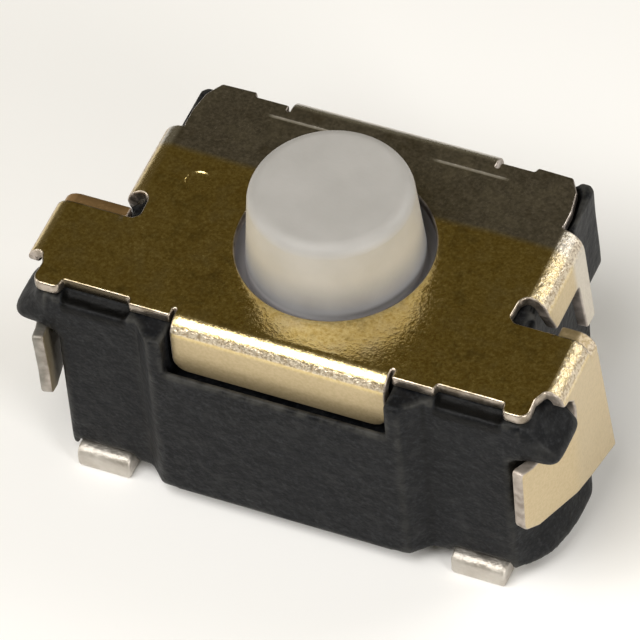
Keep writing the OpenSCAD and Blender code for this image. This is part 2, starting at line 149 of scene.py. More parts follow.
# Radii at the sheet's middle layer, angles and developed lengths of the bends
BEND_R, SOFT_R, FOOT_R = 0.08 + SHEET / 2, 0.13 + SHEET / 2, 0.10
SPLAY, FOOT_TURN = np.radians(85), np.radians(15)
BEND_LEN, SOFT_LEN = BEND_R * np.pi / 2, SOFT_R * SPLAY
FLAP_Z = TOP_Z - 0.20
# The strip behind each tab: its edges along Y, its drop, and how soon that fades on the flap
TAB_REAR, STRIP_REAR, STUB_X = -0.37, -0.17, 2.54
JOGGLE, FADE_RIGHT, FADE_LEFT = 0.10, 0.20, 0.45
LEFT_OUT = 0.05


def wide(y, z):
    """Blank coordinates of a point of the wide flap, from its distance along Y and height."""
    return (SIDE_X + BEND_LEN + FLAP_Z - z, y)


def foot(d, z):
    """Blank coordinates of a point of the foot, d in front of its bend line."""
    return wide(FOOT_Y - d, z)


def narrow(y, fall):
    """Blank coordinates of a point of the narrow flap, fall below the end of its bend."""
    return (NARROW_X + SOFT_LEN + fall, y)


# Right half of the blank from the front flap's centre round to the rear flap's: x, y, radius
FLAP_END = BEND_LEN + 0.49
blank_right = [
    (1.18, FRONT_Y - FLAP_END, 0.17), (1.18, -1.355, 0.012), (1.21, -1.355, 0.012),
    (1.21, -1.46, 0.03), (1.67, -1.46, 0.03), (1.69, -1.385, 0.02), (2.40, -1.385, 0.02),
    (2.42, -1.505, 0.06), (2.695, -1.505, 0.14), (2.68, -1.24, 0.08),
    (2.74, -1.10, 0.06), (*wide(-1.10, 2.43), 0.08), (*wide(-0.96, 2.39), 0.08),
    (*wide(-0.84, 2.26), 0.10), (*foot(0, 2.1), 0.1), (*foot(0, 1.90), 0.03),
    (*foot(0.72, 1.92), 0.04), (*foot(0.92, 1.99), 0.04),
    (*foot(0.92, 1.10), 0.14), (*foot(0.68, 0.95), 0.10), (*foot(0, 0.81), 0.1),
    (*wide(-0.47, 0.67), 0.06), (*wide(0.18, 0.43), 0.03), (*wide(-0.17, 2.35), 0.03),
    (2.20, STRIP_REAR, 0.03), (2.20, TAB_REAR, 0.01), (2.11, TAB_REAR, 0.03),
    (2.045, -0.31, 0.06), (2.055, -0.01, 0.11), (*narrow(-0.02, 0.0), 0.06),
    (*narrow(0.10, 0.30), 0.03), (*narrow(0.165, 0.31), 0.03), (*narrow(0.70, 0.31), 0.04),
    (*narrow(0.74, 0.98), 0.05), (*narrow(0.955, 0.99), 0.05), (*narrow(0.97, 0.05), 0.03),
    (2.10, 0.97, 0.02), (2.115, 1.00, 0.03), (2.115, 1.20, 0.06), (2.07, 1.46, 0.06),
    (1.96, 1.64, 0.04), (1.57, 1.65, 0.03), (1.55, 1.59, 0.02), (1.18, 1.59, 0.026),
    (1.18, 1.51, 0.012), (1.15, 1.51, 0.012), (1.15, REAR_Y + FLAP_END, 0.17),
]
blank_left = [(-x, y, r) for x, y, r in blank_right[::-1]]
# On the right the strip behind the tab is only a stub beside its bend
for corner in ((2.20, STRIP_REAR, 0.03), (2.20, TAB_REAR, 0.01)):
    blank_right[blank_right.index(corner)] = (STUB_X, *corner[1:])
blank = np.array(blank_right + blank_left)
print("blank:", len(blank), "corners, developed width mm:", round(2 * blank[:, 0].max(), 2))

# %% [markdown]
# ## From corners to a smooth outline
# A corner of radius r is an arc that touches both edges. All corners are rounded at once, as
# arrays: the arc's middle lies on the corner's bisector, and its points sweep from one edge
# to the other. Long edges are then divided, so that the sheet has points to bend with.

# %% Rounded and divided outline
def rounded(corners, per_corner=7):
    """Closed loop with an arc in each corner (x, y, radius). The arc's centre is the corner
    plus the unit bisector times radius over the sine of half the angle. Its points turn from
    the first tangent point to the second by equal angles. An arc takes at most 0.45 of each
    edge."""
    p, radius = corners[:, :2], corners[:, 2]
    to_last, to_next = np.roll(p, 1, 0) - p, np.roll(p, -1, 0) - p
    len_last, len_next = np.linalg.norm(to_last, axis=1), np.linalg.norm(to_next, axis=1)
    e1, e2 = to_last / len_last[:, None], to_next / len_next[:, None]
    half = np.arccos(np.clip((e1 * e2).sum(1), -1, 1)) / 2
    reach = np.minimum(radius / np.tan(half), 0.45 * np.minimum(len_last, len_next))
    r = reach * np.tan(half)
    bisector = e1 + e2
    bisector /= np.linalg.norm(bisector, axis=1)[:, None]
    centre = p + bisector * (r / np.sin(half))[:, None]
    d1, d2 = p + e1 * reach[:, None] - centre, p + e2 * reach[:, None] - centre
    sweep = (np.pi - 2 * half)[:, None]
    s = np.linspace(0, 1, per_corner)[None, :]
    w1 = np.sin((1 - s) * sweep) / np.sin(sweep)
    w2 = np.sin(s * sweep) / np.sin(sweep)
    loop = centre[:, None] + w1[..., None] * d1[:, None] + w2[..., None] * d2[:, None]
    loop = loop.reshape(-1, 2)
    return loop[np.linalg.norm(loop - np.roll(loop, 1, 0), axis=1) > 1e-4]


def divided(loop, step):
    """The loop with each edge cut into equal parts no longer than step."""
    ahead = np.roll(loop, -1, 0) - loop
    parts = np.maximum(np.ceil(np.linalg.norm(ahead, axis=1) / step), 1).astype(int)
    owner = np.repeat(np.arange(len(loop)), parts)
    first = np.repeat(np.cumsum(parts) - parts, parts)
    share = (np.arange(parts.sum()) - first) / parts[owner]
    return loop[owner] + ahead[owner] * share[:, None]


def inward(loop):
    """Step that moves each point of a counterclockwise loop inwards by one unit: the sum of
    the normals of its two edges, made long enough to shift both edges by one. The 0.6 keeps
    the step short at a sharp corner."""
    edge = np.roll(loop, -1, 0) - loop
    edge /= np.linalg.norm(edge, axis=1)[:, None]
    n = np.stack([-edge[:, 1], edge[:, 0]], 1)
    both = n + np.roll(n, 1, 0)
    return both / np.maximum((both * both).sum(1) / 2, 0.6)[:, None]


EDGE_STEP, HOLE_POINTS = 0.045, 160
outline = divided(rounded(blank), EDGE_STEP)
hole_angles = -2 * np.pi * np.arange(HOLE_POINTS) / HOLE_POINTS
hole = HOLE_R * np.stack([np.cos(hole_angles), np.sin(hole_angles)], 1)
print("outline points:", len(outline), "hole points:", len(hole))

# %% [markdown]
# ## Filling the blank
# Inside the outline the sheet needs rows of points across every bend, and a looser net
# elsewhere. The first helpers say which points lie inside, which lie clear of an edge, and
# lay nets and rings.

# %% Tests and nets of points
def inside(points, loop):
    """True for points that an upward ray leaves through an odd number of the loop's edges."""
    a, b = loop, np.roll(loop, -1, 0)
    x, y = points[:, 0, None], points[:, 1, None]
    spans = (a[:, 0] > x) != (b[:, 0] > x)
    width = np.where(b[:, 0] == a[:, 0], 1, b[:, 0] - a[:, 0])
    cut = a[:, 1] + (b[:, 1] - a[:, 1]) * (x - a[:, 0]) / width
    return (spans & (y < cut)).sum(1) % 2 == 1


def clear_of(points, loop, gap):
    """True for points that lie farther than gap from every point of the loop."""
    return (np.linalg.norm(points[:, None] - loop[None], axis=2) > gap).all(1)


def net(x0, x1, nx, y0, y1, ny):
    """Even net of nx by ny points over a rectangle."""
    x, y = np.meshgrid(np.linspace(x0, x1, nx), np.linspace(y0, y1, ny), indexing="ij")
    return np.stack([x.ravel(), y.ravel()], 1)


def ring_of_points(radius, count):
    """Even points of a circle round the origin: radius times (cos a, sin a)."""
    a = np.linspace(0, 2 * np.pi, count, endpoint=False)
    return radius * np.stack([np.cos(a), np.sin(a)], 1)


# %% [markdown]
# Rows stand close where the sheet bends, steps down or is scored, and rings of points stand
# where the dimple is pressed in. The loose net keeps clear of all of them.

# %% Points inside the outline
WIDE_END = SIDE_X + BEND_LEN
SCORE_Y, SCORE_FROM, SCORE_TO = 1.39, 0.46, 1.38
DIMPLE = np.array([-1.66, 0.30])
BAND, STEP_BAND = 0.02, 0.028
ZONE_CLEAR, DIMPLE_CLEAR, EDGE_CLEAR, HOLE_CLEAR = 0.03, 0.22, 0.042, 0.05
step_y = (TAB_REAR - STEP_BAND, TAB_REAR + STEP_BAND)
# Zones of close rows: from x, to x, points, from y, to y, points
zones = [
    (-1.16, 1.16, 44, FRONT_Y - BEND_LEN - BAND, FRONT_Y + BAND, 13),  # front bend
    (-1.13, 1.13, 44, REAR_Y - BAND, REAR_Y + BEND_LEN + BAND, 13),  # rear bend
    (SIDE_X - BAND, WIDE_END + BAND, 13, -1.08, -0.20, 20),  # wide side bend
    (NARROW_X - BAND, NARROW_X + SOFT_LEN + BAND, 15, 0.02, 0.95, 20),  # narrow side bend
    (2.18, SIDE_X - 0.03, 14, *step_y, 9),  # step behind the tab
    (SIDE_X - 0.01, WIDE_END + 0.5, 16, *step_y, 9),  # the same step on the flap
    (0.44, 1.42, 49, SCORE_Y - 0.05, SCORE_Y + 0.05, 13),  # scored groove
]
zones += [(-x1, -x0, nx, y0, y1, ny) for x0, x1, nx, y0, y1, ny in zones[2:]]
loose = net(-4.9, 4.9, 141, -2.1, 2.2, 62)
for x0, x1, _, y0, y1, _ in zones:
    from_middle = np.abs(loose - [(x0 + x1) / 2, (y0 + y1) / 2])
    half_zone = [(x1 - x0) / 2 + ZONE_CLEAR, (y1 - y0) / 2 + ZONE_CLEAR]
    loose = loose[(from_middle >= half_zone).any(1)]
loose = loose[np.linalg.norm(loose - DIMPLE, axis=1) > DIMPLE_CLEAR]
dimple_rings = np.concatenate([DIMPLE + ring_of_points(r, n) for r, n in [
    (0.001, 1), (0.05, 10), (0.10, 20), (0.125, 28), (0.14, 32), (0.15, 32), (0.165, 32),
    (0.19, 24)]])
fill = np.concatenate([loose, dimple_rings] + [net(*zone) for zone in zones])
fill = fill[inside(fill, outline)]
fill = fill[clear_of(fill, outline, EDGE_CLEAR)]
fill = fill[np.linalg.norm(fill, axis=1) > HOLE_R + HOLE_CLEAR]
print("zones:", len(zones), "inner points:", len(fill))

# %% [markdown]
# ## Joining the points
# A constrained Delaunay triangulation joins the points with the outline, and the same
# triangles serve the top and the underside. The sheet's top face ends a little inside the cut
# edge, where its rolled rim begins. So the outline and the hole are drawn inwards by the rim's
# width first.

# %% Triangles of the flat blank
TOP_INSET, LOW_INSET = 0.022, 0.010
border = outline + inward(outline) * TOP_INSET
hole_border = hole + inward(hole) * TOP_INSET
flat_points = np.concatenate([border, hole_border, fill])
edges = np.concatenate([
    np.stack([np.arange(len(b)), np.roll(np.arange(len(b)), -1)], 1) + start
    for b, start in ((border, 0), (hole_border, len(border)))])
made = delaunay_2d_cdt([Vector(p) for p in flat_points.tolist()], edges.tolist(), [], 1, 1e-6)
triangles = np.array([f for f in made[2] if len(f) == 3])
order = np.array([ids[0] if len(ids) else -1 for ids in made[3]])
stray = [tuple(round(c, 3) for c in made[0][k]) for k in np.flatnonzero(order < 0)]
assert not stray, f"the inset outline crosses itself at {stray}"
triangles = order[triangles]
middle = flat_points[triangles].mean(1)
triangles = triangles[inside(middle, border) & ~inside(middle, hole_border)]
print("net points:", len(flat_points), "triangles:", len(triangles))

# %% [markdown]
# ## Folding the blank
# A bend of total angle A keeps the length of the sheet's middle layer. A point at distance s
# past the bend line has turned by s over the radius, and what is left beyond the arc carries
# on straight. Thickness is added along the turned normal, so inside and outside radii come
# out right by themselves. The wide flaps have a second bend for the foot, and the strips
# behind the tabs are pressed down by a joggle.

# %% The folding function
def bend(s, radius, total):
    """Reach, drop and angle at distance s past a bend line. The angle is s over the radius,
    at most total. Reach is radius times its sine, drop is radius times one minus its cosine,
    and what is left of s runs on along the final direction."""
    angle = np.clip(s / radius, 0, total)
    rest = np.maximum(s - radius * total, 0)
    reach = np.where(s < 0, s, radius * np.sin(angle) + rest * np.cos(total))
    drop = radius * (1 - np.cos(angle)) + rest * np.sin(total)
    return reach, drop, angle


def step_up(x):
    """Smooth step from 0 to 1 as x goes from 0 to 1: three x squared less two x cubed."""
    x = np.clip(x, 0, 1)
    return x * x * (3 - 2 * x)


SCORE_DEEP, SCORE_HALF, SCORE_FADE = 0.0060, 0.026, 0.08
DIMPLE_DEEP, DIMPLE_R, DIMPLE_WALL = 0.015, 0.12, 0.035


def relief(u, v):
    """Height pressed into the top face: two grooves with a bell-shaped section, and a round
    dimple with a flat bottom and a smooth wall."""
    a = np.abs(u)
    score = SCORE_DEEP * np.exp(-((v - SCORE_Y) / SCORE_HALF) ** 2)
    score = score * step_up((a - SCORE_FROM) / SCORE_FADE) * step_up((SCORE_TO - a) / SCORE_FADE)
    r = np.hypot(u - DIMPLE[0], v - DIMPLE[1])
    dimple = DIMPLE_DEEP * (1 - step_up((r - DIMPLE_R) / DIMPLE_WALL))
    return -score - dimple


# Half widths up to the slits beside the front and the rear flap, the narrow flap's reach
# along Y, the slant of the cut between the two side flaps, and where the joggle begins
FRONT_SLIT, REAR_SLIT = 1.195, 1.165
NARROW_FROM, NARROW_TO = -0.03, 0.985
SLANT_BACK, SLANT_DOWN = 0.35, 2.02
JOGGLE_X, JOGGLE_HALF = 2.15, 0.012


def fold(u, v, h):
    """Place in space of blank point (u, v) at height h over the middle layer, and how far it
    has turned: 0 on the plate, rising through a bend to 1 on the flap."""
    side, a = np.sign(u), np.abs(u)
    x, y, z = a, v, np.full_like(a, TOP_Z - SHEET / 2)
    n = np.stack([0 * a, 0 * a, 1 + 0 * a], 1)
    turn = np.zeros_like(a)
    # Front and rear flaps
    for line, way, half_w in ((FRONT_Y, -1, FRONT_SLIT), (REAR_Y, 1, REAR_SLIT)):
        m = (a < half_w) & (way * (v - line) > 0)
        reach, drop, angle = bend(way * (v - line), BEND_R, np.pi / 2)
        y = np.where(m, line + way * reach, y)
        z = np.where(m, z - drop, z)
        turned_n = np.stack([0 * a, way * np.sin(angle), np.cos(angle)], 1)
        n = np.where(m[:, None], turned_n, n)
        turn = np.where(m, angle / (np.pi / 2), turn)
    # Which side flap a point belongs to: a slanting line runs between the two
    rear_of_wide = v > STRIP_REAR + 0.05 + SLANT_BACK * (a - WIDE_END) / SLANT_DOWN
    is_narrow = rear_of_wide & (a > NARROW_X) & (v > NARROW_FROM) & (v < NARROW_TO)
    is_wide = ~rear_of_wide & (a > SIDE_X)
    for m, line, radius, total in (
            (is_narrow, NARROW_X, SOFT_R, SPLAY), (is_wide, SIDE_X, BEND_R, np.pi / 2)):
        reach, drop, angle = bend(a - line, radius, total)
        x = np.where(m, line + reach, x)
        z = np.where(m, z - drop, z)
        n = np.where(m[:, None], np.stack([np.sin(angle), 0 * a, np.cos(angle)], 1), n)
        turn = np.where(m, angle / total, turn)
    # Joggle of the strip behind the tab, fading out down the flap
    press = step_up((v - TAB_REAR + JOGGLE_HALF) / (2 * JOGGLE_HALF))
    press = press * (a > JOGGLE_X) * (v < -0.1)
    rest = np.maximum(a - WIDE_END, 0)
    z = z - JOGGLE * press * step_up(1 - rest / np.where(side > 0, FADE_RIGHT, FADE_LEFT))
    # The foot turns about a vertical line, towards the base
    m = is_wide & (v < FOOT_Y) & (rest > 0.2)
    forward, across, angle = bend(FOOT_Y - v, FOOT_R, FOOT_TURN)
    y = np.where(m, FOOT_Y - forward, y)
    x = np.where(m, x - across, x)
    n = np.where(m[:, None], np.stack([np.cos(angle), -np.sin(angle), 0 * a], 1), n)
    # On the photographed part the left tab and its flap stand a little farther out
    out = LEFT_OUT * (side < 0) * ~rear_of_wide * step_up((a - 2.25) / 0.35)
    x = x + out * (1 - 0.9 * np.clip(a - WIDE_END, 0, 1))
    points = np.stack([x, y, z], 1) + h[:, None] * n
    points[:, 0] *= np.where(side == 0, 1, side)
    return points, turn


print("bend lengths in mm:", round(BEND_LEN, 3), round(SOFT_LEN, 3))

# %% [markdown]
# ## The cover
# A sheared edge is rolled over where the punch entered and nearly sharp where it left. The
# rim gets that section: nine loops of points round the outline and round the hole. All points
# are laid out in the flat first and folded last.

# %% The sheet in the flat
HALF = SHEET / 2
# Rim section: how far inside the cut edge, and height over the middle layer
RIM = [(TOP_INSET, HALF), (0.013, HALF - 0.003), (0.006, HALF - 0.009), (0.002, HALF - 0.017),
       (0.0, HALF - 0.028), (0.0, 0.0), (0.0, 0.012 - HALF), (0.003, 0.004 - HALF),
       (LOW_INSET, -HALF)]


def flat_sheet():
    """Blank coordinates, heights, rim marks and faces of the sheet: the rim's loops round the
    outline, those round the hole, the inner points of the top, then those of the underside."""
    uv, heights, on_rim, faces, tops, lows, start = [], [], [], [], [], [], 0
    for loop in (outline, hole):
        push, count = inward(loop), len(loop)
        for k, (inset, height) in enumerate(RIM):
            uv.append(loop + push * inset)
            heights.append(np.full(count, height))
            on_rim.append(np.full(count, float(0 < k < len(RIM) - 1)))
        faces += loop_faces(len(RIM), count, start)
        tops.append(start + np.arange(count))
        lows.append(start + (len(RIM) - 1) * count + np.arange(count))
        start += len(RIM) * count
    for height, ids in ((HALF, tops), (-HALF, lows)):
        uv.append(fill)
        heights.append(np.full(len(fill), height))
        on_rim.append(np.zeros(len(fill)))
        ids.append(start + np.arange(len(fill)))
        start += len(fill)
    faces += np.concatenate(tops)[triangles].tolist()
    faces += np.concatenate(lows)[triangles][:, ::-1].tolist()
    return np.concatenate(uv), np.concatenate(heights), np.concatenate(on_rim), faces


flat = flat_sheet()
print("points in the flat:", len(flat[0]))

# %% [markdown]
# Two attributes are kept for the finish: cut_edge is 1 on the rim and on the sheared step
# behind each tab, and bend_turn rises from 0 to 1 through a bend.

# %% The folded sheet
# Half width of the sheared step, how far before the flap it ends, and the depth of the top
# skin that takes the relief
STEP_HALF, STEP_SHORT, TOP_SKIN = 0.022, 0.04, 0.004


def sheet_piece(name, flat):
    """The flat sheet with its relief, folded, as an object with its two attributes."""
    uv, heights, cut, faces = flat
    u, v = uv.T
    on_step = (np.abs(v - TAB_REAR) < STEP_HALF) & (np.abs(u) > JOGGLE_X)
    on_step &= (np.abs(u) < WIDE_END - STEP_SHORT) & (heights > 0)
    cut = np.where(on_step, 1.0, cut)
    heights = heights + np.where(heights > HALF - TOP_SKIN, relief(u, v), 0)
    points, turn = fold(u, v, heights)
    mesh = bpy.data.meshes.new(name)
    mesh.from_pydata((points * MM).tolist(), [], faces)
    for label, values in (("cut_edge", cut), ("bend_turn", turn)):
        layer = mesh.attributes.new(label, "FLOAT", "POINT")
        layer.data.foreach_set("value", values.astype(np.float32))
    bm = bmesh.new()
    bm.from_mesh(mesh)
    bmesh.ops.recalc_face_normals(bm, faces=bm.faces)
    bm.to_mesh(mesh)
    open_edges = sum(1 for e in bm.edges if not e.is_manifold)
    bm.free()
    mesh.polygons.foreach_set("use_smooth", [True] * len(mesh.polygons))
    piece = bpy.data.objects.new(name, mesh)
    bpy.context.scene.collection.objects.link(piece)
    print(name, "faces:", len(mesh.polygons), "open edges:", open_edges)
    return piece


cover = sheet_piece("folded_cover", flat)
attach(cover, "housing")
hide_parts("cover")

# %% [markdown]
# ## The button
# The real button is a moulded cap: a flat top that dips by 0.006 mm in the middle, a softly
# rounded edge, sides that widen towards the cover, and a hidden flange and nub below. It
# could be a bevelled cylinder, but a turned profile puts close points just where the curve
# is tight. A groove round the stem makes the dark ring inside the cover's hole.

# %% Button
BUTTON_TOP, BUTTON_R, BUTTON_BASE_R, EDGE_R = 3.5, 0.86, 0.93, 0.15
SIDE_LOW_Z, DISH_DEEP = 2.53, 0.006
edge = arc((BUTTON_R - EDGE_R, BUTTON_TOP - EDGE_R), EDGE_R, 90, 2, 18)
dish_r = np.linspace(0.0, BUTTON_R - EDGE_R, 20)[:-1]
dish = np.stack([dish_r, BUTTON_TOP - DISH_DEEP * (1 - (dish_r / (BUTTON_R - EDGE_R)) ** 2)], 1)
side_z = np.linspace(BUTTON_TOP - EDGE_R - 0.02, SIDE_LOW_Z, 22)
taper = (BUTTON_TOP - EDGE_R - side_z) / (BUTTON_TOP - EDGE_R - SIDE_LOW_Z)
side = np.stack([BUTTON_R + (BUTTON_BASE_R - BUTTON_R) * taper, side_z], 1)
# Groove, flange and nub: radius and height of each corner
stem_foot = np.array([
    (0.93, 2.50), (0.93, 2.32), (0.94, 2.30), (0.99, 2.30), (1.04, 2.34), (1.07, 2.50),
    (1.08, 2.51), (1.13, 2.51), (1.146, 2.505), (1.15, 2.49), (1.15, 2.23),
    (1.146, 2.215), (1.13, 2.21), (0.36, 2.21), (0.352, 2.205), (0.35, 2.19), (0.35, 1.74),
    (0.345, 1.725), (0.33, 1.72), (0.15, 1.72), (0.0, 1.72)])
button = turned("push_button", np.concatenate([dish, edge, side, stem_foot]), 128)
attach(button, "plunger")
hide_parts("button")
print("button faces:", len(button.data.polygons))

# %% [markdown]
# ## The snap dome
# It is a thin sprung disc, pressed to a shallow cap with a small flat at its crown. It hides
# under the button, and is turned from a section with an even wall.

# %% Snap dome
DOME_R, DOME_H, DOME_T, FLOOR_Z = 1.12, 0.24, 0.06, 1.40
r = np.linspace(0, DOME_R, 30)
under = FLOOR_Z + DOME_H * (1 - (r / DOME_R) ** 2)
under[0] = under[1]
slope = np.arctan(2 * DOME_H * r / DOME_R ** 2)
NUB_ROOM = 0.0005
upper = np.stack([r, under + DOME_T / np.cos(slope) - NUB_ROOM], 1)
lower = np.stack([r, under], 1)[::-1]
rim_of_dome = np.array([(DOME_R, FLOOR_Z + DOME_T)])
dome = turned("snap_disc", np.concatenate([upper[:-1], rim_of_dome, lower]), 96)
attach(dome, "housing")
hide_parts("snap_dome")
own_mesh(dome)
print("dome faces:", len(dome.data.polygons))

# %% [markdown]
# ## The contacts
# Each contact is stamped from plated strip: a rail in the moulding, two drops that turn out
# into the terminals, and an arm to the pad or the ring. A strip is a rounded section carried
# along a path, so the terminals get the soft shoulder that the photograph shows.

# %% Strips with rounded edges
STRIP, TERMINAL_W, TERMINAL_H = 0.18, 0.60, 0.26
TERMINAL_TOP_R, TERMINAL_LOW_R = 0.10, 0.035
STRIP_EDGE, END_SOFT = 0.02, 0.03
RAIL_Z = FLOOR_Z - STRIP / 2


def rounded_box_section(width, height, radius, count=5):
    """Counterclockwise section of a rounded rectangle, centred: four corner arcs."""
    x, y = width / 2 - radius, height / 2 - radius
    return np.concatenate([
        arc((x, y), radius, 0, 90, count), arc((-x, y), radius, 90, 180, count),
        arc((-x, -y), radius, 180, 270, count), arc((x, -y), radius, 270, 360, count)])


def swept_strip(path, across, section):
    """Points and faces of a section carried along a path. At each path point the section's
    first axis is across and its second is the path's direction turned to stand on both.
    Towards both ends the section shrinks in two steps, and a cap closes it."""
    path = np.asarray(path, float)
    along = np.gradient(path, axis=0)
    along /= np.linalg.norm(along, axis=1)[:, None]
    up = np.cross(along, across)
    up /= np.linalg.norm(up, axis=1)[:, None]
    depth = np.array([0.0, 0.3, 1.0]) * END_SOFT
    head = path[0] + along[0] * depth[:, None]
    tail = path[-1] - along[-1] * depth[::-1, None]
    inset = np.concatenate([END_SOFT * np.array([1, 0.3, 0]), np.zeros(len(path) - 2),
                            END_SOFT * np.array([0, 0.3, 1])])
    path = np.concatenate([head, path[1:-1], tail])
    up = np.concatenate([up[[0, 0, 0]], up[1:-1], up[[-1, -1, -1]]])
    half = np.abs(section).max(0)
    shrink = 1 - inset[:, None] / half[None, :]
    local = section[None] * shrink[:, None, :]
    across = np.asarray(across, float)
    points = path[:, None] + local[..., :1] * across + local[..., 1:] * up[:, None]
    rows, cols = points.shape[:2]
    faces = loop_faces(rows, cols)
    faces += [list(range(cols))[::-1], list(range((rows - 1) * cols, rows * cols))]
    return points.reshape(-1, 3), faces


def joined(name, parts):
    """One object from several closed shells of points and faces."""
    points, faces, start = [], [], 0
    for p, f in parts:
        points.append(p)
        faces += [[i + start for i in face] for face in f]
        start += len(p)
    return make_mesh(name, np.concatenate(points), faces)


def terminal(x, way, drop_y, end_y):
    """A terminal's two shells: the drop inside the moulding, and the folded end below it,
    a bar along X whose section has a wide radius on its outer top corner."""
    drop_mid = drop_y - way * STRIP / 2
    drop = swept_strip([(x, drop_mid, z) for z in (RAIL_Z, 0.9, 0.5, 0.1)], (1, 0, 0),
                       rounded_box_section(TERMINAL_W, STRIP, STRIP_EDGE))
    half_y, half_z = abs(end_y - abs(drop_y) + STRIP) / 2, TERMINAL_H / 2
    r_low, r_top = TERMINAL_LOW_R, TERMINAL_TOP_R
    outer = np.concatenate([
        arc((half_y - r_low, r_low - half_z), r_low, -90, 0, 6),
        arc((half_y - r_top, half_z - r_top), r_top, 0, 90, 10),
        [(-half_y, half_z), (-half_y, -half_z)]])
    if way < 0:
        outer = (outer * (-1, 1))[::-1]
    middle = (way * (end_y - half_y), half_z)
    ends = [(x + d, *middle) for d in np.linspace(-TERMINAL_W / 2, TERMINAL_W / 2, 9)]
    return [drop, swept_strip(ends, (0, 1, 0), outer)]


def bar(p0, p1, width):
    """Straight flat bar between two points, with its wide side level."""
    p0, p1 = np.asarray(p0, float), np.asarray(p1, float)
    way = (p1 - p0) / np.linalg.norm(p1 - p0)
    across = np.cross((0, 0, 1), way)
    section = rounded_box_section(width, STRIP, STRIP_EDGE)
    return swept_strip(np.linspace(p0, p1, 4), across, section)


def ring_sector(r0, r1, z0, z1, a0, a1, count):
    """Flat ring sector: a rectangle's corners turned about the Z axis from a0 to a1 degrees."""
    a = np.radians(np.linspace(a0, a1, count))
    loop = np.array([(r0, z0), (r1, z0), (r1, z1), (r0, z1)])
    x, y = loop[None, :, 0] * np.cos(a)[:, None], loop[None, :, 0] * np.sin(a)[:, None]
    z = np.repeat(loop[None, :, 1], count, 0)
    points = np.stack([x, y, z], -1).reshape(-1, 3)
    faces = loop_faces(count, 4)
    return points, faces + [[3, 2, 1, 0], [4 * count - 4 + k for k in range(4)]]


# Pad and ring stay 0.001 mm inside the strip's two faces, so that no faces coincide
pad = ring_sector(0.0005, 0.40, 1.221, 1.399, 0, 359.9, 49)
ring = ring_sector(0.90, 1.15, 1.221, 1.399, -159, 159, 81)
for side_x, name, node, centre, inner_end in (
        (-1, "left_contact", "center_contact", pad, 0.30),
        (1, "right_contact", "outer_contact", ring, 1.02)):
    parts = [
        *terminal(side_x * 2.10, -1, -1.30, 1.66), *terminal(side_x * 1.71, 1, 1.30, 1.66),
        bar((side_x * 1.90, -1.29, RAIL_Z), (side_x * 1.90, 1.29, RAIL_Z), 0.20),
        bar((side_x * 2.0, 0, RAIL_Z), (side_x * inner_end, 0, RAIL_Z), 0.40), centre]
    contact = joined(name, parts)
    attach(contact, "housing")
    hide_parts(node)
    print(name, "faces:", len(contact.data.polygons))

# %% [markdown]
# ## Where the moulding departs from the plain form
# The real base is injection moulded, and the photographed one isn't quite the plain form that
# the CAD has: one flank is swollen near its foot, the rear posts lean, and the ledges dip
# under the cover's front edge. Smooth steps of the coordinates say where each departure acts,
# so it fades out with no edge of its own.

# %% Rounds and departures of the moulding
ALL_ROUNDS, RIDGE_ROUNDS, LEDGE_ROUNDS, LEDGE_END_ROUNDS = 5, 12, 38, 90
SWELL, LEAN, PUSH_BACK, POST_RISE, FULL_END = 0.11, 0.06, 0.04, 0.09, 0.022
DIP_RIGHT, DIP_LEFT = 0.04, 0.06


def moulding_rounds(points):
    """More rounds on the ledge ends and the boss's upright ridges than elsewhere."""
    x, y, z = np.abs(points[:, 0]), points[:, 1], points[:, 2]
    rounds = np.full(len(points), ALL_ROUNDS)
    rounds[(x > 1.2) & (y < -1.45) & (z < 1.9)] = RIDGE_ROUNDS
    rounds[(x > 2.5) & (z > 1.85)] = LEDGE_ROUNDS
    rounds[(x > 2.62) & (z > 1.85) & (y < -0.85)] = LEDGE_END_ROUNDS
    return rounds


def under_edge(points):
    """1 on the ledges' tops under the cover's set-back front edge, falling to 0 around it:
    the product of four smooth steps."""
    x, y, z = np.abs(points[:, 0]), points[:, 1], points[:, 2]
    inside_x = step_up((x - 1.66) / 0.05) * step_up((2.44 - x) / 0.05)
    return inside_x * step_up((z - 2.2) / 0.15) * step_up((-1.36 - y) / 0.05)


def worn_mould(points):
    """The points moved to where the real moulding has them. The right flank swells out near
    its foot, the rear posts lean in and back towards their tops, the right one rises beside
    the cover's edge, the ledges dip, and the ledge ends are kept full before they are
    rounded. Each move is its size times a product of smooth steps."""
    signed_x, y, z = points.T
    x, on_right = np.abs(signed_x), signed_x > 0
    swell = step_up((y + 1.62) / 0.45) * step_up((-0.05 - y) / 0.35)
    swell *= step_up((0.72 - z) / 0.5) * step_up((signed_x - 2.25) / 0.2)
    post = (y > 0.95) & (x > 1.9)
    upper = post * step_up((z - 1.5) / 1.0)
    lean = upper * step_up((x - 2.05) / 0.15)
    full = step_up((x - 2.75) / 0.2) * (z > 1.85)
    out = SWELL * swell - LEAN * lean + FULL_END * full
    back = PUSH_BACK * step_up((y - 1.4) / 0.1) * upper
    # The rise keeps clear of the sheet: its edge there runs through three corners of the blank
    sheet_edge = np.interp(y, [1.2, 1.46, 1.64], [2.115, 2.07, 1.96])
    rise = post * step_up((x + out - sheet_edge - 0.015) / 0.03) * step_up((z - 2.2) / 0.3)
    dip = np.where(on_right, DIP_RIGHT, DIP_LEFT) * under_edge(points)
    up = POST_RISE * rise * on_right - dip
    return points + np.stack([np.sign(signed_x) * out, back, up], 1)


print("rounds:", ALL_ROUNDS, "to", LEDGE_END_ROUNDS, "largest departure mm:", SWELL)

# %% [markdown]
# ## The base
# A mould can't have razor edges, so every corner of the part is rounded and every inner corner
# is filled a little. Rounding 300 faces one by one is tedious, and bevels collide at the small
# steps. So a copy of the CAD node is rebuilt as an even skin of tiny squares, and that skin is
# relaxed. Flats stay flat, because a point there moves only within its plane, while edges melt
# to a radius that grows with each round.

